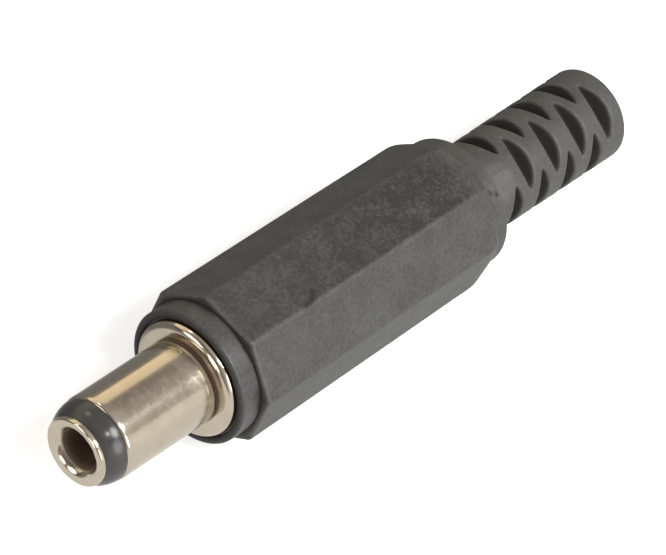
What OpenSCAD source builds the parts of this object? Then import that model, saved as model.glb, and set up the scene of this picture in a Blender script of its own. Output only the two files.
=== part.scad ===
// Cable-mount DC power plug with a screw-on octagonal shell and a slotted strain relief.
// The plug lies along X: its tip points to -X and its cable leaves to +X.
// The origin is on the axis, at the barrel's shoulder. Sizes are in millimetres.
// Both screw threads are drawn plain, at their roots.

/* [Barrel] */
// Outer diameter of the barrel
barrel_d = 5.5; // [5:0.1:6.5]
// Length of the barrel, from its shoulder to its front edge
barrel_len = 7.33; // [5:0.05:10]
// Thickness of the barrel's wall
barrel_wall = 0.33; // [0.2:0.01:0.5]
// Radius of the barrel's front edge
barrel_round = 0.3; // [0.1:0.01:0.4]
// Length of the tapered undercut at the barrel's shoulder
undercut_w = 0.28; // [0.1:0.02:0.6]
// Depth of the tapered undercut at the barrel's shoulder
undercut_depth = 0.12; // [0.04:0.01:0.16]

/* [Flange and thread] */
// Outer diameter of the flange
flange_d = 7.6; // [7.4:0.1:8.2]
// Thickness of the flange
flange_t = 0.62; // [0.5:0.02:1.5]
// Radius of the flange's front edge
flange_round = 0.45; // [0.1:0.05:0.5]
// How far the flange's back sits inside the shell's mouth
flange_sink = 0.2; // [0.1:0.02:0.4]
// Diameter at the root of the shell's thread
thread_d = 7.1; // [6.9:0.05:7.3]
// Depth of the thread
thread_depth = 0.25; // [0.1:0.05:0.35]
// Length of the sleeve's threaded tail
thread_len = 6; // [4:0.25:8]

/* [Tip] */
// Diameter of the bore that takes the socket's pin
bore_d = 2.5; // [2:0.1:2.6]
// Thickness of the centre contact's tube
contact_wall = 0.3; // [0.2:0.02:0.36]
// Radius of the flared mouth
flare_round = 0.78; // [0.6:0.02:0.84]
// Outer diameter of the flared lip
lip_d = 4.44; // [4.4:0.02:4.7]
// Length of the insulator's rounded head
head_len = 1.3; // [0.8:0.05:2.2]
// How far the head's base lies inside the barrel's surface
head_step = 0.07; // [0.02:0.01:0.1]

/* [Terminals] */
// Thickness of the terminals' sheet metal
sheet_t = 0.4; // [0.25:0.05:0.5]
// Inside radius of the bends
bend_round = 0.2; // [0.1:0.05:0.3]
// Thickness of the insulating washer
washer_t = 0.8; // [0.5:0.1:1.5]
// Width of the sleeve terminal's tail
tail_w = 2.4; // [1.8:0.1:2.8]
// Length of the cord clamp
clamp_len = 4; // [2.5:0.25:5]
// Angle that the cord clamp wraps round the cord
clamp_wrap = 150; // [120:5:180]
// Width of the centre terminal's tab
tab_w = 2; // [1.6:0.1:2.4]
// Length of the centre terminal's tab
tab_len = 5; // [3.5:0.25:5.5]
// Diameter of the solder holes
solder_hole_d = 1.1; // [0.8:0.1:1.2]

/* [Shell] */
// Outer diameter of the two collars
collar_d = 8.8; // [8.4:0.1:9.2]
// Length of the front collar
front_collar_len = 1.5; // [1:0.1:3]
// Length of the rear collar
rear_collar_len = 1.4; // [1:0.1:3]
// Radius of the collars' outer edges
collar_round = 0.2; // [0.1:0.05:0.3]
// Width of the octagonal grip across its flats
grip_flats = 9.45; // [9:0.05:11]
// Length of the octagonal grip
grip_len = 21.1; // [18:0.1:28]
// Radius of the grip's long edges
grip_round = 0.5; // [0.2:0.05:0.8]
// Radius of the edges at the grip's front end
grip_front_round = 0.16; // [0.1:0.02:0.3]
// Radius of the edges at the grip's rear end
grip_rear_round = 0.5; // [0.2:0.05:0.8]
// Length of solid shell between the cavity and the end of the grip
grip_end_wall = 4; // [3:0.1:5]
// How much narrower the cavity is than the root of the shell's thread, on the radius
cavity_step = 0.15; // [0.1:0.05:0.2]
// How far the shell's thread runs past the sleeve's tail
thread_runout = 0.5; // [0.3:0.1:1]
// Free length between the cord clamp and the end of the cavity
clamp_spare = 1; // [0.5:0.1:1.5]

/* [Strain relief] */
// Length of the strain relief
relief_len = 13.9; // [11:0.1:18]
// Diameter of the relief at the rear collar
relief_root_d = 6.16; // [6:0.02:6.6]
// Diameter of the relief at its end
relief_end_d = 6.4; // [6:0.02:6.8]
// Length of the plain rim at the relief's end
relief_rim = 1.15; // [0.6:0.05:2]
// Radius of the rim's outer edge
relief_round = 0.25; // [0.1:0.05:0.4]
// Diameter of the hole for the cable
cable_d = 4.2; // [3:0.1:4.4]
// Rings of grooves along the relief, each turned half a step from the last
groove_rings = 8; // [4:1:9]
// Grooves in each ring
grooves_per_ring = 3; // [2:1:3]
// Width of a groove at the surface
groove_top_w = 0.86; // [0.6:0.02:1.2]
// Width of a groove at its floor
groove_floor_w = 0.16; // [0.1:0.02:0.4]
// Thickness left between a groove's floor and the cable hole
groove_skin = 0.32; // [0.2:0.02:0.4]
// Distance from the rear collar to the first ring's middle
groove_start = 3; // [2:0.1:3.5]
// Distance from the last ring's middle to the relief's end
groove_end = 1.75; // [1.6:0.05:2.5]

/* [Clearances] */
// Clearance between the flange and the shell's mouth, on the radius
mouth_gap = 0.1; // [0.05:0.01:0.2]
// Clearance between the sleeve's thread and the shell's, on the radius
thread_gap = 0.05; // [0.03:0.01:0.1]
// Clearance between pieces that push together, on the radius
push_gap = 0.02; // [0.01:0.005:0.03]
// Clearance between the terminals and the shell's cavity, on the radius
cavity_gap = 0.3; // [0.2:0.05:0.4]
// Clearance between bare metal of the two poles, and round the rivet
pole_gap = 0.2; // [0.1:0.05:0.3]

/* [Hidden] */
$fn = 96;
// How far a cutting shape reaches past the surface that it cuts
past = 0.5;
// How far rounding at the grip's ends starts outside its faces, so that the faces cross at an angle
round_rise = 0.002;
// Angle between a flat of the octagon and its corner
corner_turn = 180 / 8;

// Radii of the turned pieces
barrel_r = barrel_d / 2;
sleeve_bore_r = barrel_r - barrel_wall;
flange_r = flange_d / 2;
shell_thread_r = thread_d / 2;
sleeve_thread_r = shell_thread_r - thread_gap - thread_depth;
bore_r = bore_d / 2;
contact_r = bore_r + contact_wall;
lip_r = lip_d / 2;
crest_r = bore_r + flare_round;
head_base_r = barrel_r - head_step;

// Positions along the axis, from the tip to the back of the terminals
barrel_front = -barrel_len;
lip_back = barrel_front - head_len;
crest = lip_back - contact_wall;
flare_centre = crest + flare_round;
sleeve_back = flange_t + thread_len;
sleeve_lug_back = sleeve_back + sheet_t;
washer_back = sleeve_lug_back + washer_t;
centre_lug_back = washer_back + sheet_t;
rivet_back = centre_lug_back + contact_wall;

// Positions along the shell
shell_front = flange_t - flange_sink;
grip_front = shell_front + front_collar_len;
grip_back = grip_front + grip_len;
relief_root = grip_back + rear_collar_len;
relief_back = relief_root + relief_len;
shell_thread_end = sleeve_back + thread_runout;
cavity_back = grip_back - grip_end_wall;

// Radii of the shell
mouth_r = flange_r + mouth_gap;
cavity_r = shell_thread_r - cavity_step;
cable_r = cable_d / 2;
collar_r = collar_d / 2;
relief_root_r = relief_root_d / 2;
relief_end_r = relief_end_d / 2;
groove_floor_r = cable_r + groove_skin;
groove_pitch = (relief_len - groove_start - groove_end) / (groove_rings - 1);
groove_slope = (groove_top_w - groove_floor_w) / 2 / (relief_root_r - groove_floor_r);

// Sizes of the terminals, which stay inside the cavity
lug_r = cavity_r - cavity_gap;
bend_start_r = lug_r - sheet_t - bend_round;
washer_r = bend_start_r - push_gap;
boss_r = contact_r + (washer_r - contact_r) / 2;
rivet_r = contact_r + contact_wall;
tag_r = rivet_r + contact_wall;
tab_out = rivet_r + pole_gap + bend_round + sheet_t;
clamp_back = cavity_back - clamp_spare;
clamp_front = clamp_back - clamp_len;

// Turns a profile, drawn as radius and position, about the plug's axis
module turned() {
    rotate([0, 90, 0]) rotate_extrude() children();
}

// Turns a profile through part of a circle, evenly about the plug's underside
module turned_below(angle) {
    rotate([0, 90, 0]) rotate([0, 0, -angle / 2]) rotate_extrude(angle = angle) children();
}

// What rounding takes off a corner of a profile; inward points from the corner into the piece
module corner_sliver(corner, inward, radius) {
    reach = -(radius + past) * inward;
    translate(corner + radius * inward) difference() {
        polygon([[0, 0], [reach.x, 0], reach, [0, reach.y]]);
        circle(r = radius);
    }
}

// Regular octagon with rounded corners
module grip_outline() {
    corner_r = grip_flats / 2 / cos(corner_turn);
    round_centre = corner_r - grip_round / cos(corner_turn);
    chord = round_centre + grip_round * cos(corner_turn);
    difference() {
        rotate(corner_turn) circle(r = corner_r, $fn = 8);
        for (turn = [0 : 45 : 315]) rotate(turn + corner_turn) difference() {
            translate([chord, -grip_round]) square([corner_r - chord + past, 2 * grip_round]);
            translate([round_centre, 0]) circle(r = grip_round);
        }
    }
}

// Side view of the grip, a hair outside its faces, with the edges at its ends rounded
module grip_side_view() {
    half = grip_flats / 2 + round_rise;
    front = grip_front - round_rise;
    back = grip_back + round_rise;
    difference() {
        translate([front, -half]) square([back - front, 2 * half]);
        for (side = [-1, 1]) {
            corner_sliver([front, side * half], [1, -side], grip_front_round);
            corner_sliver([back, side * half], [-1, -side], grip_rear_round);
        }
    }
}

// Octagonal grip: each pair of opposite flats is rounded at its ends as one slab
module grip() {
    intersection() {
        translate([grip_front, 0, 0]) rotate([0, 90, 0]) linear_extrude(height = grip_len) grip_outline();
        intersection_for (turn = [0 : 45 : 135]) rotate([turn, 0, 0])
            linear_extrude(height = 2 * grip_flats, center = true) grip_side_view();
    }
}

// Straight V-groove across the top of the relief, with a narrow flat floor
module relief_groove() {
    top = relief_end_r + past;
    half_floor = groove_floor_w / 2;
    half_top = half_floor + (top - groove_floor_r) * groove_slope;
    rotate([90, 0, 0]) linear_extrude(height = 2 * relief_end_r, center = true) polygon([
        [-half_floor, groove_floor_r],
        [half_floor, groove_floor_r],
        [half_top, top],
        [-half_top, top]
    ]);
}

// All the grooves: each ring is turned half a step from the one before, as in a brick wall
module relief_grooves() {
    step = 360 / grooves_per_ring;
    for (ring = [0 : groove_rings - 1]) for (place = [0 : grooves_per_ring - 1])
        translate([relief_root + groove_start + ring * groove_pitch, 0, 0])
            rotate([corner_turn + (place + (ring + 1) % 2 / 2) * step, 0, 0])
                relief_groove();
}

// Section of sheet metal, bent once: it stands from its root to its outside and then runs along the axis
module bent_section(root, out, run) {
    turn = sheet_t + bend_round;
    difference() {
        polygon([
            [root, 0],
            [root, sheet_t],
            [out - turn, sheet_t],
            [out - turn, turn],
            [out - sheet_t, turn],
            [out - sheet_t, run],
            [out, run],
            [out, 0]
        ]);
        translate([out - turn, turn]) circle(r = bend_round);
        corner_sliver([out, 0], [-1, 1], turn);
    }
}

// Flat ring of sheet metal about the axis
module tag_ring(front, outer_r, hole_r) {
    turned() polygon([
        [hole_r, front],
        [outer_r, front],
        [outer_r, front + sheet_t],
        [hole_r, front + sheet_t]
    ]);
}

// Moulded handle: two round collars, the octagonal grip and the strain relief, hollow right through
module shell() {
    lip_round = min(collar_round, (collar_r - mouth_r) / 2);
    color([0.13, 0.13, 0.13]) difference() {
        union() {
            turned() difference() {
                polygon([
                    [0, shell_front],
                    [collar_r, shell_front],
                    [collar_r, relief_root],
                    [0, relief_root]
                ]);
                corner_sliver([collar_r, shell_front], [-1, 1], lip_round);
                corner_sliver([collar_r, relief_root], [-1, -1], collar_round);
            }
            turned() difference() {
                polygon([
                    [0, grip_back],
                    [relief_root_r, grip_back],
                    [relief_root_r, relief_root],
                    [relief_end_r, relief_back - relief_rim],
                    [relief_end_r, relief_back],
                    [0, relief_back]
                ]);
                corner_sliver([relief_end_r, relief_back], [-1, -1], relief_round);
            }
            grip();
        }
        turned() polygon([
            [0, shell_front - past],
            [mouth_r, shell_front - past],
            [mouth_r, flange_t],
            [shell_thread_r, flange_t],
            [shell_thread_r, shell_thread_end],
            [cavity_r, shell_thread_end + cavity_step],
            [cavity_r, cavity_back],
            [cable_r, cavity_back + cavity_r - cable_r],
            [cable_r, relief_back + past],
            [0, relief_back + past]
        ]);
        relief_grooves();
    }
}

// Turned barrel with its flange and threaded tail
module outer_sleeve() {
    tail_chamfer = thread_depth;
    color([0.78, 0.72, 0.62]) turned() difference() {
        polygon([
            [sleeve_bore_r, barrel_front],
            [barrel_r, barrel_front],
            [barrel_r, -undercut_w],
            [barrel_r - undercut_depth, 0],
            [flange_r, 0],
            [flange_r, flange_t],
            [sleeve_thread_r, flange_t],
            [sleeve_thread_r, sleeve_back - tail_chamfer],
            [sleeve_thread_r - tail_chamfer, sleeve_back],
            [sleeve_bore_r, sleeve_back]
        ]);
        corner_sliver([barrel_r, barrel_front], [-1, 1], min(barrel_round, barrel_wall - push_gap));
        corner_sliver([flange_r, 0], [-1, 1], flange_round);
    }
}

// Moulded tube that lines the barrel, with the rounded head that shows at the tip
module tip_insulator() {
    tube_r = sleeve_bore_r - push_gap;
    hole_r = contact_r + push_gap;
    head_fall = head_base_r - lip_r;
    head_round = (head_len * head_len + head_fall * head_fall) / 2 / head_fall;
    color([0.1, 0.1, 0.1]) turned() difference() {
        union() {
            intersection() {
                translate([hole_r, lip_back]) square([head_base_r - hole_r + past, head_len]);
                translate([head_base_r - head_round, barrel_front]) circle(r = head_round);
            }
            translate([hole_r, barrel_front]) square([tube_r - hole_r, sleeve_back - barrel_front]);
        }
        corner_sliver([hole_r, lip_back], [1, 1], flare_centre - lip_back - push_gap);
    }
}

// Drawn tube, flared at its mouth and riveted over at its back
module centre_contact() {
    lip_round = lip_r - crest_r - push_gap;
    color([0.8, 0.74, 0.64]) turned() difference() {
        polygon([
            [bore_r, crest],
            [lip_r, crest],
            [lip_r, lip_back],
            [crest_r, lip_back],
            [crest_r, flare_centre],
            [contact_r, flare_centre],
            [contact_r, centre_lug_back],
            [rivet_r, centre_lug_back],
            [rivet_r, rivet_back],
            [bore_r, rivet_back]
        ]);
        corner_sliver([bore_r, crest], [1, 1], flare_round);
        corner_sliver([lip_r, crest], [-1, 1], lip_round);
        translate([crest_r, flare_centre]) circle(r = flare_centre - lip_back);
        corner_sliver([bore_r, rivet_back], [1, -1], contact_wall);
        corner_sliver([rivet_r, rivet_back], [-1, -1], contact_wall / 2);
    }
}

// Shouldered washer between the two terminals
module rear_insulator() {
    hole_r = contact_r + push_gap;
    color([0.16, 0.15, 0.14]) turned() polygon([
        [hole_r, sleeve_back],
        [boss_r, sleeve_back],
        [boss_r, sleeve_lug_back],
        [washer_r, sleeve_lug_back],
        [washer_r, washer_back],
        [hole_r, washer_back]
    ]);
}

// Stamped terminal of the sleeve: a ring, a tail along the bottom and an open clamp for the cord
module sleeve_lug() {
    hole_r = boss_r + push_gap;
    tail_turn = 2 * asin(tail_w / 2 / lug_r);
    notch_turn = 2 * asin((tail_w / 2 + bend_round) / lug_r);
    solder_hole_at = (sleeve_lug_back + clamp_front) / 2;
    color([0.76, 0.7, 0.58]) difference() {
        union() {
            difference() {
                tag_ring(sleeve_back, lug_r, hole_r);
                turned_below(notch_turn) translate([bend_start_r, sleeve_back - past])
                    square([sheet_t + bend_round + past, sheet_t + 2 * past]);
            }
            turned_below(tail_turn) translate([0, sleeve_back])
                bent_section(hole_r, lug_r, clamp_back - sleeve_back);
            turned_below(clamp_wrap) translate([lug_r - sheet_t, clamp_front]) square([sheet_t, clamp_len]);
        }
        translate([solder_hole_at, 0, -lug_r - past]) cylinder(d = solder_hole_d, h = sheet_t + 2 * past);
    }
}

// Stamped tag of the centre contact: a ring and a solder tab along the top
module centre_lug() {
    solder_hole_at = washer_back + tab_len - tab_w / 2;
    color([0.76, 0.7, 0.58]) difference() {
        union() {
            tag_ring(washer_back, tag_r, contact_r + push_gap);
            translate([washer_back, 0, 0]) rotate([0, 90, 0]) rotate([90, 0, 0])
                linear_extrude(height = tab_w, center = true) mirror([1, 0]) bent_section(rivet_r, tab_out, tab_len);
        }
        translate([solder_hole_at, 0, tab_out - sheet_t - past]) cylinder(d = solder_hole_d, h = sheet_t + 2 * past);
        for (side = [-1, 1]) translate([0, 0, tab_out - sheet_t - past]) linear_extrude(height = sheet_t + 2 * past)
            corner_sliver([washer_back + tab_len, side * tab_w / 2], [-1, -side], tab_w / 3);
    }
}

shell();
outer_sleeve();
tip_insulator();
centre_contact();
rear_insulator();
sleeve_lug();
centre_lug();
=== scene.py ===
"""Looks of a cable-mount DC power plug: nickel barrel, black octagonal shell and slotted strain relief.

The plug lies along X, its tip at -X and its cable entry at +X, as in the frame. Sizes here are in millimetres
until a mesh is made. Angles round the axis run from +Z towards -Y.
"""

import math

import bpy
import numpy as np
from mathutils import Matrix, Vector


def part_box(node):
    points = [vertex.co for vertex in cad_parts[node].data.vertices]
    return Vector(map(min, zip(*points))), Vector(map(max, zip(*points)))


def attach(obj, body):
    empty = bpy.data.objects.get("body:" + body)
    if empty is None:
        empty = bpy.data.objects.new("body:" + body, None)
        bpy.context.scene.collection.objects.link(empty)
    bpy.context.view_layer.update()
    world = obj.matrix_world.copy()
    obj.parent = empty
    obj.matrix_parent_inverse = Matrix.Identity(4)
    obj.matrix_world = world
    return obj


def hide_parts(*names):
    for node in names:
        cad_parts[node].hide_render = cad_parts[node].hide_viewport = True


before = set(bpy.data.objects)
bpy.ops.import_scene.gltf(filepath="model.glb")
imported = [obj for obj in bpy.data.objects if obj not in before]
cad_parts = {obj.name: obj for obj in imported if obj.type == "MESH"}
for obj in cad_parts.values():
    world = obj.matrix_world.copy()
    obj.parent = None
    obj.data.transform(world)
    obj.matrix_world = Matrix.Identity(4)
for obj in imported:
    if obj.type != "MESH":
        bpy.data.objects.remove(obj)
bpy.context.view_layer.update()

MM = 0.001


def box_mm(node):
    """Lowest and highest corner of a CAD node, in millimetres."""
    low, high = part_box(node)
    return low / MM, high / MM


# Places that the frame gives
shell_low, shell_high = box_mm("shell")
sleeve_low, sleeve_high = box_mm("outer_sleeve")
tip_low, tip_high = box_mm("tip_insulator")
contact_low, contact_high = box_mm("centre_contact")
shell_front = shell_low.x
relief_back = shell_high.x
grip_half = shell_high.z
barrel_front = sleeve_low.x
sleeve_back = sleeve_high.x
flange_r = sleeve_high.z
lip_back = tip_low.x
head_base_r = tip_high.z
crest = contact_low.x
rivet_back = contact_high.x
lip_r = contact_high.z
floor_z = shell_low.z

# Barrel, flange and thread
barrel_r = 2.75
barrel_wall = 0.33
barrel_round = 0.3
undercut_w = 0.2
undercut_depth = 0.1
flange_sink = 0.2
flange_t = shell_front + flange_sink
flange_round = 0.45
shell_thread_r = 3.55
sleeve_thread_r = 3.25
thread_depth = 0.25
thread_pitch = 0.75
thread_crest_half = 0.07
thread_root_half = 0.21
thread_runout = 0.5
sleeve_thread_phase = 0.0
shell_thread_phase = 0.5
sleeve_bore_r = barrel_r - barrel_wall
turned_sharp_deg = 40.0
sleeve_steps = 288

# Top of the barrel that handling has dulled, and painted shade in the corner in front of the flange
smudge_middle = math.radians(14)
smudge_half = math.radians(20)
smudge_side = math.radians(9)
smudge_front = (barrel_front + 0.2, barrel_front + 1.2)
smudge_back = (-0.5, -0.1)
dull_rise = (-1.9, -1.0)
corner_along = (-0.26, -0.18)
corner_out = (barrel_r - 0.02, barrel_r + 0.08)
flange_face = 0.01
barrel_skin = 0.1

# Tip
bore_r = 1.25
contact_wall = 0.3
contact_r = bore_r + contact_wall
flare_round = 0.78
flare_centre = crest + flare_round
flare_depth = 0.9
crest_r = bore_r + flare_round
push_gap = 0.02
centre_lug_back = rivet_back - contact_wall
tip_steps = 256
# Painted shade down the centre contact's bore
bore_shade = 0.95
bore_shade_fade = (bore_r + 0.08, bore_r + 0.18)
bore_skin = 0.01

# Shell
collar_r = 4.4
front_collar_len = 1.5
grip_len = 21.1
rear_collar_len = 1.4
collar_round = 0.2
rear_collar_round = 0.15
collar_overrun = 0.3
grip_round = 0.5
grip_front_round = 0.16
dome_len = 1.5
dome_overrun = 0.6
grip_sides = 8
corner_turn = math.radians(180 / grip_sides)
mouth_gap = 0.1
mouth_r = flange_r + mouth_gap
mouth_edge = 0.06
seat_gap = 0.01
grip_front = shell_front + front_collar_len
grip_back = grip_front + grip_len
dome_back = grip_back + dome_overrun
dome_front = dome_back - dome_len
relief_root = grip_back + rear_collar_len
collar_back = relief_root + collar_overrun
cavity_r = 3.4
cavity_end = 4.0
cavity_back = grip_back - cavity_end
cable_r = 2.1
cable_round = 0.12
shell_thread_end = sleeve_back + thread_runout
shell_sharp_deg = 50.0

# Strain relief
relief_root_r = 3.08
relief_end_r = 3.2
relief_rim = 1.15
relief_round = 0.25
root_fillet = 0.3
groove_rings = 8
grooves_per_ring = 3
groove_floor_r = 2.42
groove_half_floor = 0.08
groove_half_top = 0.56
groove_start = 3.0
groove_end = 1.75
groove_soft = 0.08
groove_edge = 0.12
# Painted shade deeper in the grooves
groove_shade = (0.03, 0.2)

# Lumps and pits that the mould's gate left on the rear collar and the strain relief:
# distance from the relief's root, turn in degrees, half length, half width and height
gate_lumps = [
    (0.20, 30.0, 0.60, 1.30, 0.60),
    (1.20, 19.0, 0.55, 0.25, 0.05),
    (2.20, 20.0, 0.70, 0.13, 0.06),
    (1.80, 44.0, 0.50, 0.45, 0.05),
    (1.30, 8.0, 0.30, 0.30, 0.05),
    (3.24, -12.0, 0.12, 0.40, 0.06),
]
collar_lumps = [
    (-0.42, 28.5, 0.12, 0.16, -0.07),
    (0.02, 32.5, 0.14, 0.14, -0.09),
    (-0.15, 26.0, 0.16, 0.14, 0.04),
    (0.08, 37.0, 0.14, 0.18, 0.05),
    (-0.36, 35.5, 0.14, 0.20, 0.03),
]
scar_width = 0.5
gate_middle = 1.6
gate_turn = math.radians(30.0)
gate_half_len = 1.35
gate_half_turn = math.radians(24.0)
gate_fade = (0.7, 1.3)
gate_least_r = cavity_r - 1

# A hooked nick beside the grip's top edge: places along the axis with their turns in degrees
nick_path = [(6.85, 20.6), (7.3, 20.4), (7.65, 18.4), (7.92, 14.5)]
nick_half = 0.19
nick_depth = 0.06

# Wear of the shell's edges, and painted highlights on small lumps and groove rims, as shares, with places and
# half widths along the axis
corner_wear = 0.1
corner_wear_half = math.radians(2.4)
corner_wear_fade = (0.6, 1.6)
collar_wear = 0.1
front_wear = 0.45
front_wear_at = 0.1
front_wear_half = 0.12
lump_highlight = 0.8
rim_highlight = 0.7
end_wear = 0.5
end_wear_at = 0.1
end_wear_half = 0.15
end_face_wear = 0.2
hole_wear = 0.1
ridge_wear = 0.15
ridge_wear_rise = (relief_root + 1.5, relief_root + 3.0)

# Painted shade in the shell's mouth, seams and root, as shares
mouth_shade = 0.6
seam_start = 0.15
seam_middle = 0.06
seam_shade = 0.5
root_ring_shade = 0.4
root_shade = 0.6
root_shade_half = 0.12

# Rows of the shell's mesh
collar_steps = 8
dome_gap = 0.3
nick_gap = 0.1
rear_gap = 0.07
rear_round_gap = 0.02
root_gap = 0.0005
relief_step = 0.078
relief_turn_gap = 0.02
end_face_gap = 0.05
thread_ring_count = 50


def arc(centre, radius, start_deg, end_deg, steps):
    """Points (x, r) on an arc; 0 degrees points along +x and 90 degrees away from the axis."""
    turns = np.radians(np.linspace(start_deg, end_deg, steps + 1))
    return [(centre[0] + radius * math.cos(t), centre[1] + radius * math.sin(t)) for t in turns]


def straight(start, end, steps):
    """Points (x, r) on a line, both ends included."""
    return [tuple(p) for p in np.linspace(start, end, steps + 1)]


def without_repeats(points, least=1e-4):
    """The same outline with points that fall on the one before left out."""
    kept = [points[0]]
    for p in points[1:]:
        if math.hypot(p[0] - kept[-1][0], p[1] - kept[-1][1]) > least:
            kept.append(p)
    if math.hypot(kept[0][0] - kept[-1][0], kept[0][1] - kept[-1][1]) <= least:
        kept.pop()
    return kept


def smooth_step(value, low, high):
    """0 below low, 1 above high, and a smooth rise between."""
    share = np.clip((value - low) / (high - low), 0, 1)
    return share * share * (3 - 2 * share)


def soft_max(a, b, width):
    """The larger of two heights, with the crease between them filled over the width."""
    share = np.clip(0.5 + 0.5 * (a - b) / width, 0, 1)
    return b + (a - b) * share + width * share * (1 - share)


def turn_from(angles, middle):
    """Signed turn of each angle from the middle, between minus and plus half a turn."""
    return (angles - middle + math.pi) % (2 * math.pi) - math.pi


def ring_mesh(name, x, r, angles, sharp_deg, marks):
    """A closed surface from rings: x and r are arrays of ring by angle, and the last ring joins the first.

    Marks are named arrays of the same form, from 0 to 1, which the materials read.
    """
    rings, count = x.shape
    y = -r * np.sin(angles)[None, :]
    z = r * np.cos(angles)[None, :]
    points = np.stack([x, y, z], -1).reshape(-1, 3) * MM
    ring, step = np.meshgrid(np.arange(rings), np.arange(count), indexing="ij")
    next_ring = (ring + 1) % rings
    next_step = (step + 1) % count
    corners = [
        ring * count + step,
        ring * count + next_step,
        next_ring * count + next_step,
        next_ring * count + step,
    ]
    quads = np.stack(corners, -1).reshape(-1, 4)
    mesh = bpy.data.meshes.new(name)
    mesh.from_pydata(points.tolist(), [], quads.tolist())
    mesh.update()
    mesh.polygons.foreach_set("use_smooth", np.ones(len(quads), bool))
    mesh.set_sharp_from_angle(angle=math.radians(sharp_deg))
    for mark, values in marks.items():
        layer = mesh.attributes.new(mark, "FLOAT", "POINT")
        layer.data.foreach_set("value", np.broadcast_to(values, x.shape).astype(np.float32).ravel())
    piece = bpy.data.objects.new(name, mesh)
    bpy.context.scene.collection.objects.link(piece)
    return piece


def turned(outline, angles):
    """Arrays of x and r, ring by angle, of a closed outline of points (x, r)."""
    points = np.array(without_repeats(outline))
    return np.repeat(points[:, :1], len(angles), 1), np.repeat(points[:, 1:], len(angles), 1)


def thread_height(x, angles, start, end, phase):
    """Share of the thread's depth, from 0 at its root to 1 at its crest, fading out at both ends."""
    along = (x - start) / thread_pitch - angles[None, :] / (2 * math.pi) + phase
    from_crest = np.abs(along - np.round(along)) * thread_pitch
    height = np.clip((thread_root_half - from_crest) / (thread_root_half - thread_crest_half), 0, 1)
    fade = np.clip(np.minimum(x - start, end - x) / thread_pitch, 0, 1)
    return height * fade


def make_outer_sleeve():
    """The turned barrel, with its flange and its threaded tail."""
    chamfer = thread_depth
    angles = np.linspace(0, 2 * math.pi, sleeve_steps, endpoint=False)
    outside = arc((barrel_front + barrel_round, barrel_r - barrel_round), barrel_round, 180, 90, 10)
    outside += straight((barrel_front + barrel_round, barrel_r), (-undercut_w, barrel_r), 24)
    outside += straight((-undercut_w, barrel_r), (0, barrel_r - undercut_depth), 4)
    outside += straight((0, barrel_r - undercut_depth), (0, flange_r - flange_round), 4)
    outside += arc((flange_round, flange_r - flange_round), flange_round, 180, 90, 14)
    outside += straight((flange_round, flange_r), (flange_t, flange_r), 2)
    outside += straight((flange_t, flange_r), (flange_t, sleeve_thread_r), 2)
    first_row = len(without_repeats(outside)) - 1
    tail = straight((flange_t, sleeve_thread_r), (sleeve_back - chamfer, sleeve_thread_r), 140)
    inside = straight((sleeve_back, sleeve_thread_r - chamfer), (sleeve_back, sleeve_bore_r), 2)
    inside += straight((sleeve_back, sleeve_bore_r), (barrel_front, sleeve_bore_r), 6)
    x, r = turned(outside + tail + inside, angles)
    rows = slice(first_row, first_row + len(tail))
    height = thread_height(x[rows], angles, flange_t, sleeve_back - chamfer, sleeve_thread_phase)
    r[rows] += thread_depth * height
    from_middle = np.abs(turn_from(angles, smudge_middle))[None, :]
    seen = r > sleeve_bore_r + barrel_skin
    on_barrel = smooth_step(x, *smudge_front) * (1 - smooth_step(x, *smudge_back)) * seen
    smudge = on_barrel * (1 - smooth_step(from_middle, smudge_half, smudge_half + smudge_side))
    dull = on_barrel * smooth_step(x, *dull_rise)
    # Painted shade in the corner where the barrel meets the flange
    in_corner = smooth_step(x, *corner_along) * (1 - smooth_step(r, *corner_out))
    painted_shade = in_corner * (x < flange_face) * seen
    marks = {"smudge": smudge, "dull": dull, "painted_shade": painted_shade}
    return ring_mesh("barrel_and_flange", x, r, angles, turned_sharp_deg, marks)


def make_tip_insulator():
    """The moulded tube in the barrel, with its rounded head."""
    tube_r = sleeve_bore_r - push_gap
    hole_r = contact_r + push_gap
    head_len = barrel_front - lip_back
    fall = head_base_r - lip_r
    round_r = (head_len ** 2 + fall ** 2) / 2 / fall
    first_turn = 90 + math.degrees(math.asin(head_len / round_r))
    throat_r = flare_centre - lip_back - push_gap
    outline = arc((barrel_front, head_base_r - round_r), round_r, first_turn, 90, 24)
    outline += straight((barrel_front, head_base_r), (barrel_front, tube_r), 1)
    outline += straight((barrel_front, tube_r), (sleeve_back, tube_r), 4)
    outline += straight((sleeve_back, hole_r), (lip_back + throat_r, hole_r), 4)
    outline += arc((lip_back + throat_r, hole_r + throat_r), throat_r, 270, 180, 8)
    angles = np.linspace(0, 2 * math.pi, tip_steps, endpoint=False)
    x, r = turned(outline, angles)
    return ring_mesh("tip_insulator_moulding", x, r, angles, turned_sharp_deg, {})


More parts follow.
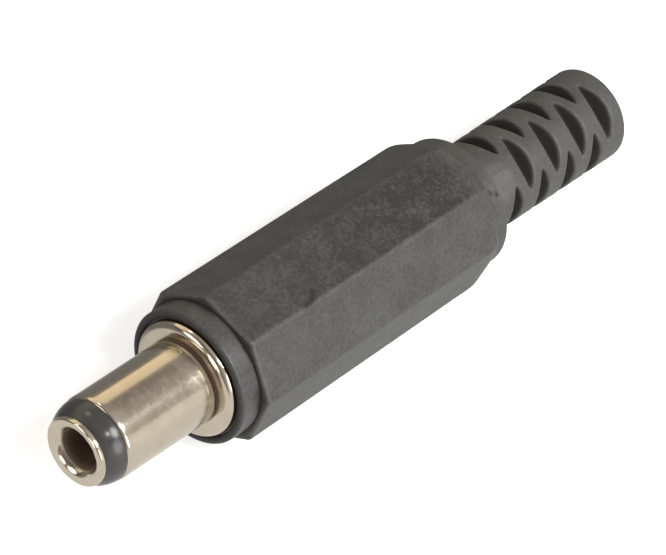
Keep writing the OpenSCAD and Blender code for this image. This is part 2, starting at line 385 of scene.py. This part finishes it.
def make_centre_contact():
    """The drawn tube, flared at its mouth and riveted over at its back."""
    lip_round = lip_r - crest_r - push_gap
    back_round = contact_wall / 2
    throat_r = flare_centre - lip_back
    turns = np.linspace(math.pi / 2, 0, 25)
    outline = [(crest + flare_depth * (1 - math.cos(t)), crest_r - flare_round * math.sin(t)) for t in turns]
    outline += arc((crest + lip_round, lip_r - lip_round), lip_round, 180, 90, 8)
    outline += [(lip_back, lip_r)]
    outline += arc((flare_centre, crest_r), throat_r, 180, 270, 10)
    outline += straight((flare_centre, contact_r), (centre_lug_back, contact_r), 6)
    outline += [(centre_lug_back, contact_r + contact_wall)]
    outline += arc((rivet_back - back_round, contact_r + contact_wall - back_round), back_round, 90, 0, 6)
    outline += arc((rivet_back - contact_wall, bore_r + contact_wall), contact_wall, 360, 270, 8)
    outline += straight((rivet_back - contact_wall, bore_r), (crest + flare_depth, bore_r), 8)
    angles = np.linspace(0, 2 * math.pi, tip_steps, endpoint=False)
    x, r = turned(outline, angles)
    # Painted shade down the bore, fading out up the flare
    inside = (1 - smooth_step(r, *bore_shade_fade)) * (r < contact_r - bore_skin)
    marks = {"smudge": 0, "dull": 0, "painted_shade": bore_shade * inside}
    return ring_mesh("centre_contact_tube", x, r, angles, turned_sharp_deg, marks)


def octagon(angles):
    """Distance from the axis to the grip's rounded octagon at each angle."""
    turn = (angles + corner_turn) % (2 * corner_turn) - corner_turn
    flat = grip_half / np.cos(turn)
    off_corner = corner_turn - np.abs(turn)
    round_centre = (grip_half - grip_round) / math.cos(corner_turn)
    inside = np.clip(grip_round ** 2 - (round_centre * np.sin(off_corner)) ** 2, 0, None)
    rounded = round_centre * np.cos(off_corner) + np.sqrt(inside)
    on_round = rounded * np.sin(off_corner) < grip_round * math.sin(corner_turn)
    return np.where(on_round, np.minimum(flat, rounded), flat)


def end_drop(from_end, radius):
    """How far a rounded end lies below the plain surface, at each distance from that end."""
    share = np.clip(1 - from_end / radius, 0, 1)
    return radius * (1 - np.sqrt(1 - share ** 2))


def nick_share(x, angles):
    """Depth of the nick as a share, ring by angle."""
    place = np.stack(np.meshgrid(x, turn_from(angles, 0.0) * grip_half, indexing="ij"), -1)
    path = [np.array([along, math.radians(turn) * grip_half]) for along, turn in nick_path]
    nearest = np.full(place.shape[:2], np.inf)
    for start, end in zip(path, path[1:]):
        step = end - start
        share = np.clip((place - start) @ step / (step @ step), 0, 1)
        nearest = np.minimum(nearest, np.linalg.norm(place - start - share[..., None] * step, axis=-1))
    return np.exp(-(nearest / nick_half) ** 2)


def grip_radius(x, angles):
    """Distance from the axis to the grip, whose rounded back falls to the rear collar."""
    half = grip_half - end_drop(x - grip_front, grip_front_round)
    r = octagon(angles)[None, :] * (half / grip_half)[:, None]
    r -= nick_depth * nick_share(x, angles)
    fall = np.sqrt(1 - np.clip((x - dome_front) / dome_len, 0, 1) ** 2)[:, None]
    return collar_r + (r - collar_r) * fall


def lumpy(plain, x, angles, lumps):
    """A plain surface with lumps and pits added, and the marks of small lumps, for a painted highlight, and
    of pits, for painted shade, ring by angle.
    """
    r = np.repeat(plain[:, None], len(angles), 1)
    pale = np.zeros_like(r)
    dark = np.zeros_like(r)
    for along, turn_deg, half_len, half_width, height in lumps:
        sideways = turn_from(angles, math.radians(turn_deg)) * plain.mean() / half_width
        ahead = (x - relief_root - along) / half_len
        lump = np.exp(-ahead[:, None] ** 2 - sideways[None, :] ** 2)
        r += height * lump
        # Pits get painted shade and small lumps a painted highlight
        if height < 0:
            dark = np.maximum(dark, lump)
        elif half_width < scar_width:
            pale = np.maximum(pale, lump)
    return r, pale, dark


def relief_radius(x, angles):
    """Distance from the axis to the strain relief, and the marks of its painted highlights on rims and lumps
    and its painted shade in hollows.
    """
    rim_front = relief_back - relief_rim
    plain = np.interp(x, [relief_root, rim_front, relief_back], [relief_root_r, relief_end_r, relief_end_r])
    plain = plain + end_drop(x - collar_back, root_fillet) - end_drop(relief_back - x, relief_round)
    r, edge, pit = lumpy(plain, x, angles, gate_lumps)
    plain_r = r.copy()
    slope = (groove_half_top - groove_half_floor) / (relief_root_r - groove_floor_r)
    pitch = (relief_back - relief_root - groove_start - groove_end) / (groove_rings - 1)
    step = 2 * math.pi / grooves_per_ring
    for ring in range(groove_rings):
        middle = relief_root + groove_start + ring * pitch
        depth = groove_floor_r + np.clip(np.abs(x - middle) - groove_half_floor, 0, None) / slope
        first = corner_turn + (0.5 * step if ring % 2 == 0 else 0.0)
        turn = (angles - first + step / 2) % step - step / 2
        cut = depth[:, None] / np.cos(turn)[None, :]
        # Painted highlight along the grooves' rims
        edge = np.maximum(edge, np.exp(-((cut - r) / groove_edge) ** 2) * (cut > r - groove_soft))
        # The smaller of surface and cut, with the edge between them softened
        r = -soft_max(-r, -cut, groove_soft)
    # Deeper in a groove the surface gets more painted shade
    return r, edge, np.maximum(pit, smooth_step(plain_r - r, *groove_shade))


def shell_angles():
    """Angles round the shell, closer together over the octagon's rounded corners."""
    half_round = 2.6
    sector = 360 / grip_sides
    on_round = np.linspace(-half_round, half_round, 7)[:-1]
    on_flat = np.linspace(half_round, sector - half_round, 27)[:-1]
    corner = np.concatenate([on_round, on_flat])
    return np.radians(np.concatenate([sector / 2 + sector * k + corner for k in range(grip_sides)]))


def peak(distance, half):
    """1 at no distance, falling off smoothly over the half width."""
    return math.exp(-(distance / half) ** 2)


def make_shell():
    """The moulded handle: collars, octagonal grip and slotted strain relief, hollow right through."""
    angles = shell_angles()
    ones = np.ones(len(angles))
    rings, wear_and_highlight, painted_shade = [], [], []

    def add_ring(x, r, worn_and_lit=0.0, darkened=0.0):
        rings.append((x * ones, r * ones))
        wear_and_highlight.append(worn_and_lit * ones)
        painted_shade.append(darkened * ones)

    def add_rings(points, worn_and_lit=0.0, darkened=0.0):
        for x, r in points:
            add_ring(x, r, worn_and_lit, darkened)

    to_corner = np.abs((angles + 2 * corner_turn) % (2 * corner_turn) - corner_turn)
    on_corner = corner_wear * np.exp(-(to_corner / corner_wear_half) ** 2)

    # Mouth and front collar
    # Painted shade in the gap at the mouth, fading over the collar's front round
    add_rings([(shell_front + mouth_edge, mouth_r), (shell_front, mouth_r + mouth_edge)], darkened=1.0)
    front_centre = (shell_front + collar_round, collar_r - collar_round)
    front_round = arc(front_centre, collar_round, 180, 90, collar_steps)
    for k, (x, r) in enumerate(front_round):
        add_ring(x, r, darkened=mouth_shade - mouth_shade * k / collar_steps)
    plain_band = straight((shell_front + 2 * collar_round, collar_r), (grip_front - seam_start, collar_r), 5)
    add_rings(plain_band, collar_wear)
    # Painted shade in the crease where the front collar meets the grip
    add_ring(grip_front - seam_middle, collar_r, darkened=seam_shade)
    add_ring(grip_front, collar_r, darkened=1.0)

    # Grip
    quarter = np.linspace(0, math.pi / 2, 9)
    front_rows = grip_front + grip_front_round * (1 - np.cos(quarter))
    nick_rows = np.linspace(nick_path[0][0] - 2 * nick_half, nick_path[-1][0] + 2 * nick_half, 24)
    dome_rows = dome_front + dome_len * np.sin(np.linspace(0, math.pi / 2, 25))
    middle_rows = np.linspace(grip_front + 2 * grip_front_round, dome_front - dome_gap, 24)
    off_nick = (middle_rows < nick_rows[0] - nick_gap) | (middle_rows > nick_rows[-1] + nick_gap)
    middle_rows = np.sort(np.concatenate([middle_rows[off_nick], nick_rows]))
    grip_rows = np.concatenate([front_rows, middle_rows, dome_rows])
    # The nick's dent gets painted shade
    for x, r, painted_dark in zip(grip_rows, grip_radius(grip_rows, angles), nick_share(grip_rows, angles)):
        at_front = front_wear * peak(x - grip_front - front_wear_at, front_wear_half)
        fade = float(smooth_step(dome_back - x, *corner_wear_fade))
        add_ring(x, r, np.maximum(fade * on_corner, at_front), painted_dark)

    # Rear collar and strain relief
    fine = np.linspace(0, 1, 9)[1:] ** 2
    relief_rows = np.concatenate([
        collar_back + root_gap + root_fillet * fine,
        np.arange(collar_back + 1.2 * root_fillet, relief_back - relief_round, relief_step),
        relief_back - relief_round * np.cos(np.linspace(0, math.pi / 2 - relief_turn_gap, 8)),
    ])
    relief_rows = np.unique(np.round(relief_rows, 5))
    relief, edges, floors = relief_radius(relief_rows, angles)
    rear_round_x = collar_back - rear_collar_round
    rear_round_r = collar_r - rear_collar_round
    collar = straight((dome_back + rear_gap, collar_r), (rear_round_x - rear_round_gap, collar_r), 10)
    collar += arc((rear_round_x, rear_round_r), rear_collar_round, 90, 0, 6)
    collar_x, collar_plain = np.array(collar).T
    # Pits on the rear collar get painted shade and small lumps a painted highlight
    for x, r, pale, dark in zip(collar_x, *lumpy(collar_plain, collar_x, angles, collar_lumps)):
        add_ring(x, r, np.maximum(collar_wear, lump_highlight * pale), dark)
    # Painted shade in the crease at the strain relief's root
    add_ring(collar_back, (rear_round_r + relief[0]) / 2, darkened=root_ring_shade)
    for x, r, edge, floor in zip(relief_rows, relief, edges, floors):
        at_end = end_wear * peak(relief_back - x - end_wear_at, end_wear_half)
        on_ridge = ridge_wear * smooth_step(x, *ridge_wear_rise)
        in_root = root_shade * peak(x - collar_back, root_shade_half)
        add_ring(x, r, np.maximum(rim_highlight * edge, max(at_end, on_ridge)), np.maximum(floor, in_root))

    # Cable hole, wire space and thread
    add_ring(relief_back, relief_end_r - relief_round - end_face_gap, end_face_wear)
    add_rings(arc((relief_back - cable_round, cable_r + cable_round), cable_round, 0, -90, 4), hole_wear)
    hole_front = cavity_back + cavity_r - cable_r
    add_rings(straight((relief_back - 2 * cable_round, cable_r), (hole_front, cable_r), 8))
    cavity_front = shell_thread_end + shell_thread_r - cavity_r
    add_rings(straight((cavity_back, cavity_r), (cavity_front, cavity_r), 6))
    first_row = len(rings)
    thread_rows = np.linspace(shell_thread_end, flange_t + seat_gap, thread_ring_count)
    add_rings([(x, shell_thread_r) for x in thread_rows])
    add_ring(flange_t + seat_gap, mouth_r)

    x = np.array([ring[0] for ring in rings])
    r = np.array([ring[1] for ring in rings])
    rows = slice(first_row, first_row + len(thread_rows))
    height = thread_height(x[rows], angles, flange_t, shell_thread_end, shell_thread_phase)
    r[rows] -= thread_depth * height
    # Gate mark: glossier, and painted paler where the relief's top catches the light, a painted highlight
    along = (x - relief_root - gate_middle) / gate_half_len
    sideways = turn_from(angles, gate_turn)[None, :] / gate_half_turn
    lit_gate_patch = (1 - smooth_step(np.hypot(along, sideways), *gate_fade)) * (r > gate_least_r)
    marks = {"wear_and_highlight": np.array(wear_and_highlight), "painted_shade": np.array(painted_shade), "lit_gate_patch": lit_gate_patch}
    return ring_mesh("shell_moulding", x, r, angles, shell_sharp_deg, marks)


def new_material(name):
    """A node material, its tree and its Principled shader."""
    material = bpy.data.materials.new(name)
    material.use_nodes = True
    tree = material.node_tree
    return material, tree, tree.nodes["Principled BSDF"]


def add_node(tree, kind, values=None, **settings):
    """A node with its settings, whose inputs take a value or another node's output."""
    node = tree.nodes.new("ShaderNode" + kind)
    for name, value in settings.items():
        setattr(node, name, value)
    for socket, value in (values or {}).items():
        if isinstance(value, bpy.types.NodeSocket):
            tree.links.new(value, node.inputs[socket])
        else:
            node.inputs[socket].default_value = value
    return node


def noise(tree, coords, size_mm, detail=2.0, roughness=0.5):
    """Noise whose features are about the given size."""
    values = {"Vector": coords, "Scale": 1 / (size_mm * MM), "Detail": detail, "Roughness": roughness}
    return add_node(tree, "TexNoise", values).outputs["Fac"]


def ramp(tree, value, low, high, to_low=0.0, to_high=1.0):
    """The value carried smoothly from one range to another, and held at its ends."""
    values = {"Value": value, "From Min": low, "From Max": high, "To Min": to_low, "To Max": to_high}
    return add_node(tree, "MapRange", values, interpolation_type="SMOOTHSTEP").outputs["Result"]


def maths(tree, operation, a, b):
    """The result of a sum on two values."""
    return add_node(tree, "Math", {0: a, 1: b}, operation=operation).outputs[0]


def times(tree, a, b):
    """The product of two values."""
    return maths(tree, "MULTIPLY", a, b)


def scaled(tree, vector, factor):
    """A colour or vector times a factor."""
    return add_node(tree, "VectorMath", {0: vector, "Scale": factor}, operation="SCALE").outputs["Vector"]


def blend(tree, share, a, b):
    """Colour a where the share is 0 and colour b where it is 1."""
    return add_node(tree, "Mix", {0: share, 6: a, 7: b}, data_type="RGBA").outputs[2]


def mark(tree, name):
    """A mark that the mesh carries at its points."""
    return add_node(tree, "Attribute", attribute_name=name).outputs["Fac"]


def object_coords(tree):
    """Places on the piece, in metres."""
    return add_node(tree, "TexCoord").outputs["Object"]


def rgb(red, green, blue):
    """An opaque colour."""
    return (red, green, blue, 1.0)


# Shell plastic
plastic_dark = rgb(0.036, 0.036, 0.0345)
plastic_pale = rgb(0.066, 0.066, 0.064)
plastic_top_shade = rgb(0.018, 0.018, 0.017)
plastic_relief = rgb(0.075, 0.074, 0.071)
plastic_worn_and_lit = rgb(0.12, 0.117, 0.11)
plastic_lit_gate = rgb(0.1, 0.099, 0.096)
plastic_shade = rgb(0.011, 0.0093, 0.0088)
grain_size = 0.24
blotch_size = 1.6
scuff_size = 0.5
grain_share = 0.6
blotch_share = 0.4
relief_share = 0.35
smooth_front_len = 0.1
# Painted shade: dark specks on upward faces, growing towards the grip's back
top_shade_facing = (0.85, 0.97)
top_shade_from = 2.0
top_shade_to = 19.0
top_shade_shares = (0.25, 1.1)
top_shade_end = grip_back - 2
top_shade_gone = grip_back + 0.3
plastic_rough = (0.42, 0.5)
smooth_gloss = 0.05
relief_roughness = 0.12
gate_gloss = 0.08
plastic_shade_roughness = 0.35
plastic_specular = 0.58


def shell_plastic():
    """Black moulded plastic: mottled grain, paler rubbed edges and a glossy gate mark, with painted shade and
    painted highlights.
    """
    material, tree, shader = new_material("shell_plastic")
    coords = object_coords(tree)
    grain = noise(tree, coords, grain_size, 3.0, 0.6)
    blotch = noise(tree, coords, blotch_size, 4.0, 0.55)
    scuff = noise(tree, coords, scuff_size, 5.0, 0.65)
    mottle = maths(tree, "ADD", times(tree, grain, grain_share), times(tree, blotch, blotch_share))
    facing = add_node(tree, "SeparateXYZ", {0: add_node(tree, "TexCoord").outputs["Normal"]}).outputs["Z"]
    along = add_node(tree, "SeparateXYZ", {0: coords}).outputs["X"]
    smooth_front = ramp(tree, along, grip_front * MM, (grip_front - smooth_front_len) * MM)
    smooth_back = ramp(tree, along, dome_back * MM, collar_back * MM)
    smooth = maths(tree, "MAXIMUM", smooth_front, smooth_back)
    # Painted shade: dark specks on upward faces, growing towards the grip's back
    top_shade_along = ramp(tree, along, top_shade_from * MM, top_shade_to * MM, *top_shade_shares)
    top_shade = times(tree, ramp(tree, facing, *top_shade_facing), top_shade_along)
    top_shade = times(tree, top_shade, maths(tree, "SUBTRACT", 1.0, smooth_front))
    top_shade = times(tree, top_shade, ramp(tree, along, top_shade_end * MM, top_shade_gone * MM, 1.0, 0.0))
    colour = blend(tree, ramp(tree, mottle, 0.36, 0.64), plastic_dark, plastic_pale)
    shade_spots = times(tree, top_shade, ramp(tree, mottle, 0.72, 0.36))
    colour = blend(tree, shade_spots, colour, plastic_top_shade)
    colour = blend(tree, times(tree, smooth_back, relief_share), colour, plastic_relief)
    # Paler where rubbed, and painted highlights on small lumps and groove rims
    worn_and_lit = times(tree, mark(tree, "wear_and_highlight"), ramp(tree, scuff, 0.36, 0.62, 0.15, 1.0))
    colour = blend(tree, worn_and_lit, colour, plastic_worn_and_lit)
    # Painted highlight on the glossier gate mark where the relief's top catches the light
    lit_gate = times(tree, mark(tree, "lit_gate_patch"), ramp(tree, scuff, 0.3, 0.6, 0.45, 1.0))
    colour = blend(tree, lit_gate, colour, plastic_lit_gate)
    # Painted shade in the grooves, seams, pits, mouth, nick and the relief's root
    colour = blend(tree, mark(tree, "painted_shade"), colour, plastic_shade)
    tree.links.new(colour, shader.inputs["Base Color"])
    rough = ramp(tree, blotch, 0.35, 0.65, *plastic_rough)
    rough = maths(tree, "SUBTRACT", rough, times(tree, smooth, smooth_gloss))
    rough = maths(tree, "ADD", rough, times(tree, smooth_back, relief_roughness))
    rough = maths(tree, "SUBTRACT", rough, times(tree, lit_gate, gate_gloss))
    rough = maths(tree, "ADD", rough, times(tree, mark(tree, "painted_shade"), plastic_shade_roughness))
    tree.links.new(rough, shader.inputs["Roughness"])
    shader.inputs["Specular IOR Level"].default_value = plastic_specular
    bump = add_node(tree, "Bump", {"Height": grain, "Strength": 0.35, "Distance": 0.02 * MM})
    tree.links.new(bump.outputs["Normal"], shader.inputs["Normal"])
    return material


# Nickel plating
nickel_bright = rgb(0.628, 0.554, 0.447)
nickel_stained = rgb(0.594, 0.52, 0.412)
nickel_dull = rgb(0.45, 0.385, 0.31)
nickel_fleck = rgb(0.64, 0.585, 0.5)
# Painted shade by the flange's foot and down the bore
nickel_shade = rgb(0.12, 0.072, 0.05)
lathe_pitch = 0.07
stain_size = 1.1
fleck_size = 0.4
nickel_rough = (0.1, 0.15)
smudge_roughness = 0.03
dull_roughness = (0.04, 0.12)
nickel_shade_roughness = 0.35
nickel_shade_metallic = 0.15
fleck_height = 0.15


def nickel():
    """Turned brass under warm nickel plating: fine lathe rings, a dull smudge, and painted shade by the
    flange and in the bore.
    """
    material, tree, shader = new_material("nickel")
    coords = object_coords(tree)
    place = add_node(tree, "SeparateXYZ", {0: coords})
    off_axis = add_node(tree, "CombineXYZ", {1: place.outputs["Y"], 2: place.outputs["Z"]}).outputs[0]
    radius = add_node(tree, "VectorMath", {0: off_axis}, operation="LENGTH").outputs["Value"]
    along_surface = maths(tree, "ADD", place.outputs["X"], radius)
    ring_values = {"W": along_surface, "Scale": 1 / (lathe_pitch * MM), "Detail": 3.0}
    rings = add_node(tree, "TexNoise", ring_values, noise_dimensions="1D").outputs["Fac"]
    stain = noise(tree, coords, stain_size, 4.0, 0.6)
    fleck = noise(tree, coords, fleck_size, 1.5, 0.5)
    colour = blend(tree, ramp(tree, stain, 0.35, 0.68), nickel_bright, nickel_stained)
    smudged = times(tree, mark(tree, "smudge"), ramp(tree, stain, 0.3, 0.62, 0.35, 1.0))
    colour = blend(tree, smudged, colour, nickel_dull)
    speckled = times(tree, mark(tree, "smudge"), ramp(tree, fleck, 0.5, 0.8, 0.0, 0.5))
    colour = blend(tree, speckled, colour, nickel_fleck)
    # Painted shade: darker by the flange's foot and down the centre contact's bore
    painted_dark = times(tree, mark(tree, "painted_shade"), ramp(tree, fleck, 0.2, 0.55, 0.92, 1.0))
    colour = blend(tree, painted_dark, colour, nickel_shade)
    tree.links.new(colour, shader.inputs["Base Color"])
    tree.links.new(ramp(tree, painted_dark, 0.0, 1.0, 1.0, nickel_shade_metallic), shader.inputs["Metallic"])
    rough = ramp(tree, rings, 0.3, 0.7, *nickel_rough)
    rough = maths(tree, "ADD", rough, times(tree, smudged, smudge_roughness))
    dulled = times(tree, mark(tree, "dull"), ramp(tree, fleck, 0.3, 0.6, *dull_roughness))
    rough = maths(tree, "ADD", rough, dulled)
    rough = maths(tree, "ADD", rough, times(tree, painted_dark, nickel_shade_roughness))
    tree.links.new(rough, shader.inputs["Roughness"])
    height = maths(tree, "ADD", rings, times(tree, fleck, fleck_height))
    bump = add_node(tree, "Bump", {"Height": height, "Strength": 0.2, "Distance": 0.004 * MM})
    tree.links.new(bump.outputs["Normal"], shader.inputs["Normal"])
    return material


# Insulator plastic
insulator_dark = rgb(0.042, 0.041, 0.039)
insulator_pale = rgb(0.056, 0.054, 0.051)
smear_size = 1.2
insulator_grain_size = 0.15
insulator_rough = (0.19, 0.26)


def insulator_plastic():
    """Smooth black plastic with faint handling marks."""
    material, tree, shader = new_material("insulator_plastic")
    coords = object_coords(tree)
    smear = noise(tree, coords, smear_size, 4.0, 0.55)
    grain = noise(tree, coords, insulator_grain_size, 2.0)
    colour = blend(tree, ramp(tree, smear, 0.3, 0.7), insulator_dark, insulator_pale)
    tree.links.new(colour, shader.inputs["Base Color"])
    tree.links.new(ramp(tree, smear, 0.3, 0.7, *insulator_rough), shader.inputs["Roughness"])
    bump = add_node(tree, "Bump", {"Height": grain, "Strength": 0.15, "Distance": 0.01 * MM})
    tree.links.new(bump.outputs["Normal"], shader.inputs["Normal"])
    return material


# Terminals
terminal_bright = rgb(0.74, 0.68, 0.57)
terminal_tarnished = rgb(0.6, 0.51, 0.38)
streak_stretch = (0.08, 1.0, 1.0)
streak_size = 0.06
tarnish_size = 0.9
terminal_rough = (0.26, 0.4)


def terminal_metal():
    """Stamped sheet brass under nickel, drawn along X, with a little tarnish."""
    material, tree, shader = new_material("terminal_metal")
    coords = object_coords(tree)
    stretch = {0: coords, 1: streak_stretch}
    drawn = add_node(tree, "VectorMath", stretch, operation="MULTIPLY").outputs["Vector"]
    streak = noise(tree, drawn, streak_size, 3.0, 0.6)
    tarnish = noise(tree, coords, tarnish_size, 4.0, 0.6)
    colour = blend(tree, ramp(tree, tarnish, 0.38, 0.66), terminal_bright, terminal_tarnished)
    tree.links.new(colour, shader.inputs["Base Color"])
    shader.inputs["Metallic"].default_value = 1.0
    tree.links.new(ramp(tree, streak, 0.3, 0.7, *terminal_rough), shader.inputs["Roughness"])
    bump = add_node(tree, "Bump", {"Height": streak, "Strength": 0.25, "Distance": 0.005 * MM})
    tree.links.new(bump.outputs["Normal"], shader.inputs["Normal"])
    return material


def dress(piece, material, body, node):
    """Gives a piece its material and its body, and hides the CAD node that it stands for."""
    piece.data.materials.clear()
    piece.data.materials.append(material)
    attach(piece, body)
    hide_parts(node)


plastic = shell_plastic()
plating = nickel()
insulator = insulator_plastic()
terminal = terminal_metal()
dress(make_shell(), plastic, "shell", "shell")
dress(make_outer_sleeve(), plating, "core", "outer_sleeve")
dress(make_tip_insulator(), insulator, "core", "tip_insulator")
dress(make_centre_contact(), plating, "core", "centre_contact")
for node, material in (("rear_insulator", insulator), ("sleeve_lug", terminal), ("centre_lug", terminal)):
    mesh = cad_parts[node].data
    mesh.materials.clear()
    mesh.materials.append(material)

# Camera, as the photo's perspective gives it
view_tilt = math.radians(52.3)
view_roll = math.radians(17.9)
image_axis = (0.83363, -0.55232)
focal_px = 3438.0
image_w = 666
aim_distance = 208.2
aim_x = 13.22
aim_right = 0.06
aim_up = 0.28


def make_camera():
    """The camera, turned so that the plug's axis lies in the picture as it does in the photo."""
    along = Vector((1, 0, 0))
    facing = Vector((0, -math.sin(view_roll), math.cos(view_roll)))
    across = along.cross(facing)
    back = facing * math.sin(view_tilt) - along * math.cos(view_tilt)
    seen_along = (along + back * math.cos(view_tilt)) / math.sin(view_tilt)
    right = seen_along * image_axis[0] - across * image_axis[1]
    up = -(seen_along * image_axis[1] + across * image_axis[0])
    aim = along * aim_x + right * aim_right + up * aim_up
    data = bpy.data.cameras.new("camera")
    data.sensor_width = 36.0
    data.lens = focal_px / image_w * data.sensor_width
    data.clip_start = 0.01
    data.clip_end = 10.0
    camera = bpy.data.objects.new("camera", data)
    turn = Matrix((right, up, back)).transposed().to_4x4()
    camera.matrix_world = Matrix.Translation((aim + back * aim_distance) * MM) @ turn
    bpy.context.scene.collection.objects.link(camera)
    bpy.context.scene.camera = camera


# Floor
floor_drop = 0.01
floor_half = 1500.0
floor_white = 0.85
floor_glow_seen = 0.55
shade_toward = (0.15, 0.99, 0.0)
shade_start = 4.0
shade_end = 10.0
shade_near = 1.0
shade_far = 0.27
mirrored_paint = 0.27
mirrored_glow = 0.61


def make_floor():
    """A white floor, lifted a little where it is seen, whose far side is in shade for reflections."""
    mesh = bpy.data.meshes.new("floor")
    half = floor_half * MM
    z = (floor_z - floor_drop) * MM
    corners = [(-half, -half, z), (half, -half, z), (half, half, z), (-half, half, z)]
    mesh.from_pydata(corners, [], [(0, 1, 2, 3)])
    floor = bpy.data.objects.new("floor", mesh)
    bpy.context.scene.collection.objects.link(floor)
    material = bpy.data.materials.new("floor")
    material.use_nodes = True
    tree = material.node_tree
    tree.nodes.clear()
    rays = add_node(tree, "LightPath")
    toward = {0: object_coords(tree), 1: shade_toward}
    away = add_node(tree, "VectorMath", toward, operation="DOT_PRODUCT").outputs["Value"]
    shade = ramp(tree, away, shade_start * MM, shade_end * MM, shade_near, shade_far)
    mirrored = rays.outputs["Is Glossy Ray"]
    seen = maths(tree, "MAXIMUM", rays.outputs["Is Camera Ray"], rays.outputs["Is Transmission Ray"])
    white = rgb(floor_white, floor_white, floor_white)
    shaded = scaled(tree, white[:3], times(tree, shade, mirrored_paint))
    paint = add_node(tree, "BsdfDiffuse", {"Color": blend(tree, mirrored, white, shaded)})
    glow_seen = times(tree, seen, floor_glow_seen)
    glow_mirrored = times(tree, times(tree, mirrored, shade), mirrored_glow)
    glow = add_node(tree, "Emission", {"Strength": maths(tree, "ADD", glow_seen, glow_mirrored)})
    both = add_node(tree, "AddShader", {0: paint.outputs[0], 1: glow.outputs[0]})
    add_node(tree, "OutputMaterial", {"Surface": both.outputs[0]})
    mesh.materials.append(material)


def make_lamp(name, direction, size, power):
    """A round soft lamp that faces the plug's middle."""
    data = bpy.data.lights.new(name, "AREA")
    data.shape = "DISK"
    data.size = size * MM
    data.energy = power
    lamp = bpy.data.objects.new(name, data)
    toward = Vector(direction).normalized()
    lamp.location = (Vector((aim_x, 0, 0)) + toward * lamp_distance) * MM
    lamp.rotation_euler = toward.to_track_quat("Z", "Y").to_euler()
    bpy.context.scene.collection.objects.link(lamp)


# Lamps: name, direction from the plug, size and power
lamp_distance = 320
lamps = [
    ("key", (0.1, -0.87, 0.46), 180, 0.33),
    ("top_lamp", (0.24, -0.46, 0.84), 130, 0.54),
    ("overhead_lamp", (-0.14, -0.39, 0.91), 50, 0.13),
    ("back_lamp", (-0.1, 0.7, 0.71), 50, 0.04),
    ("left_lamp", (-0.86, 0.42, 0.24), 150, 0.18),
    ("front_lamp", (-0.97, -0.1, 0.2), 110, 0.14),
]

# Studio walls by height, from the horizon to straight up: sine of the elevation and colour
near_wall = [
    (0.0, rgb(0.8, 0.785, 0.76)),
    (0.42, rgb(0.78, 0.765, 0.74)),
    (0.5, rgb(0.55, 0.53, 0.51)),
    (1.0, rgb(0.46, 0.45, 0.44)),
]
far_wall = [
    (0.0, rgb(0.22, 0.21, 0.2)),
    (0.17, rgb(0.24, 0.22, 0.2)),
    (0.26, rgb(0.95, 0.82, 0.6)),
    (0.56, rgb(0.85, 0.74, 0.56)),
    (0.68, rgb(0.32, 0.3, 0.29)),
    (1.0, rgb(0.36, 0.35, 0.34)),
]
near_to_far = (-0.1, 0.4)

# Reflections see the near wall's foot as white, as the background is, and the wall beyond the tip is in shade
wall_mirrored = 1.25
tip_wall = (-0.7, -0.3)
tip_wall_dim = 0.3


def make_world():
    """White behind everything, and soft studio walls for light and reflections."""
    world = bpy.data.worlds.new("studio")
    bpy.context.scene.world = world
    world.use_nodes = True
    tree = world.node_tree
    tree.nodes.clear()
    direction = add_node(tree, "TexCoord").outputs["Generated"]
    place = add_node(tree, "SeparateXYZ", {0: direction})
    sides = []
    for stops in (near_wall, far_wall):
        wall = add_node(tree, "ValToRGB", {0: place.outputs["Z"]})
        wall.color_ramp.interpolation = "EASE"
        for k, (height, colour) in enumerate(stops):
            stop = wall.color_ramp.elements[k] if k < 2 else wall.color_ramp.elements.new(height)
            stop.position = height
            stop.color = colour
        sides.append(wall.outputs["Color"])
    studio = blend(tree, ramp(tree, place.outputs["Y"], *near_to_far), sides[0], sides[1])
    studio = scaled(tree, studio, ramp(tree, place.outputs["X"], *tip_wall, tip_wall_dim, 1.0))
    rays = add_node(tree, "LightPath")
    studio = blend(tree, rays.outputs["Is Glossy Ray"], studio, scaled(tree, studio, wall_mirrored))
    seen = maths(tree, "MAXIMUM", rays.outputs["Is Camera Ray"], rays.outputs["Is Transmission Ray"])
    sky = add_node(tree, "Background", {"Color": blend(tree, seen, studio, rgb(1, 1, 1)), "Strength": 1.0})
    add_node(tree, "OutputWorld", {"Surface": sky.outputs[0]})


make_camera()
make_floor()
make_world()
for name, direction, size, power in lamps:
    make_lamp(name, direction, size, power)

bpy.context.scene.view_settings.view_transform = "Standard"
